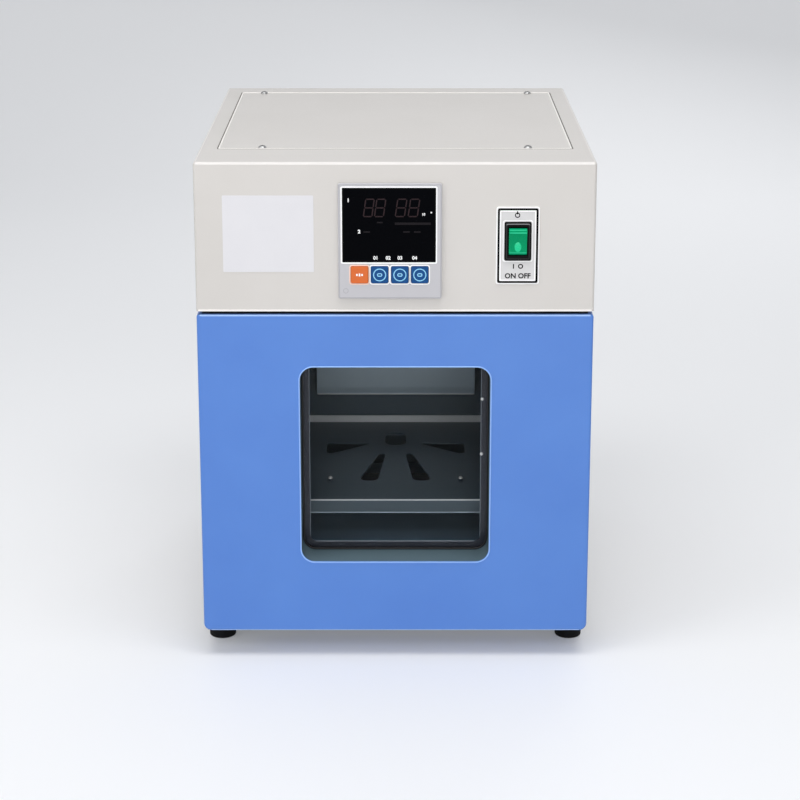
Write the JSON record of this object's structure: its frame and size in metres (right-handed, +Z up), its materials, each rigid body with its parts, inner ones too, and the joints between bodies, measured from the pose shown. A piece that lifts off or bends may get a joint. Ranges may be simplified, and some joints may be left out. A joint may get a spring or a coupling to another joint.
{
  "type": "bacteriological incubator",
  "caption": "Bench incubator with an insulated chamber, a hinged door with a recessed window, a slotted plate, and a control housing with a digital controller and a rocker switch.",
  "frame": {"origin": "on the bench under the middle of the cabinet", "axes": "+Z up, the door faces -Y, +X to the right as seen from the front"},
  "size_m": [0.37, 0.4578, 0.4895],
  "materials": {
    "housing_paint": "satin",
    "door_paint": "satin",
    "chamber_steel": "satin",
    "plated_steel": "satin",
    "mineral_wool": "matte",
    "window_glass": "gloss",
    "rubber": "matte",
    "nylon": "matte",
    "grey_face": "satin",
    "black_plastic": "satin",
    "orange_key": "satin",
    "blue_key": "satin",
    "green_rocker": "gloss"
  },
  "bodies": {
    "cabinet": {"base_pan": "plated_steel", "cabinet_shell": "housing_paint", "chamber_insulation": "mineral_wool", "chamber_liner": "chamber_steel", "component_deck": "plated_steel", "controller_bezel": "grey_face", "controller_body": "black_plastic", "cover_screw_1": "plated_steel", "cover_screw_2": "plated_steel", "cover_screw_3": "plated_steel", "cover_screw_4": "plated_steel", "display_window": "black_plastic", "duct_cover": "chamber_steel", "foot_1": "rubber", "foot_2": "rubber", "foot_3": "rubber", "foot_4": "rubber", "foot_screw_1": "plated_steel", "foot_screw_2": "plated_steel", "foot_screw_3": "plated_steel", "foot_screw_4": "plated_steel", "front_frame": "housing_paint", "heater_bracket": "plated_steel", "heater_element": "plated_steel", "hinge_bracket_lower": "plated_steel", "hinge_bracket_upper": "plated_steel", "hinge_pin_lower": "plated_steel", "hinge_pin_upper": "plated_steel", "power_inlet": "black_plastic", "rear_panel": "housing_paint", "rear_screw_1": "plated_steel", "rear_screw_2": "plated_steel", "rear_screw_3": "plated_steel", "rear_screw_4": "plated_steel", "relay": "black_plastic", "sensor_probe": "plated_steel", "shelf_support_front": "chamber_steel", "shelf_support_rear": "chamber_steel", "switch_body": "black_plastic", "switch_plate": "grey_face", "terminal_block": "nylon", "top_cover": "housing_paint", "vent_tube": "plated_steel"},
    "door": {"door_skin": "door_paint", "door_inner_panel": "chamber_steel", "door_insulation": "mineral_wool", "window_frame": "chamber_steel", "window_seal": "rubber", "window_glass": "window_glass", "door_gasket": "rubber", "door_bush_lower": "nylon", "door_bush_upper": "nylon"},
    "rocker": {"rocker": "green_rocker"},
    "plate": {"shelf_plate": "chamber_steel"},
    "damper": {"vent_damper": "plated_steel"},
    "key_set_body": {"key_set": "orange_key"},
    "key_shift_body": {"key_shift": "blue_key"},
    "key_down_body": {"key_down": "blue_key"},
    "key_up_body": {"key_up": "blue_key"}
  },
  "joints": [
    {"name": "door_hinge", "type": "hinge", "parent": "cabinet", "child": "door", "pos_m": [-0.175, -0.19304, 0.027], "axis": [0, 0, -1], "range_deg": [0, 115]},
    {"name": "rocker_pivot", "type": "hinge", "parent": "cabinet", "child": "rocker", "pos_m": [0.1132, -0.22214, 0.4136], "axis": [-1, 0, 0], "range_deg": [0, 22]},
    {"name": "plate_lift", "type": "slide", "parent": "cabinet", "child": "plate", "axis": [0, 0, 1], "range_m": [0, 0.02]},
    {"name": "damper_pivot", "type": "hinge", "parent": "cabinet", "child": "damper", "pos_m": [0, 0.22076, 0.296], "axis": [0, 1, 0], "range_deg": [0, 90]},
    {"name": "key_set_press", "type": "slide", "parent": "cabinet", "child": "key_set_body", "axis": [0, 1, 0], "range_m": [0, 0.0007], "stiffness_N_per_m": 600},
    {"name": "key_shift_press", "type": "slide", "parent": "cabinet", "child": "key_shift_body", "axis": [0, 1, 0], "range_m": [0, 0.0007], "stiffness_N_per_m": 600},
    {"name": "key_down_press", "type": "slide", "parent": "cabinet", "child": "key_down_body", "axis": [0, 1, 0], "range_m": [0, 0.0007], "stiffness_N_per_m": 600},
    {"name": "key_up_press", "type": "slide", "parent": "cabinet", "child": "key_up_body", "axis": [0, 1, 0], "range_m": [0, 0.0007], "stiffness_N_per_m": 600}
  ]
}
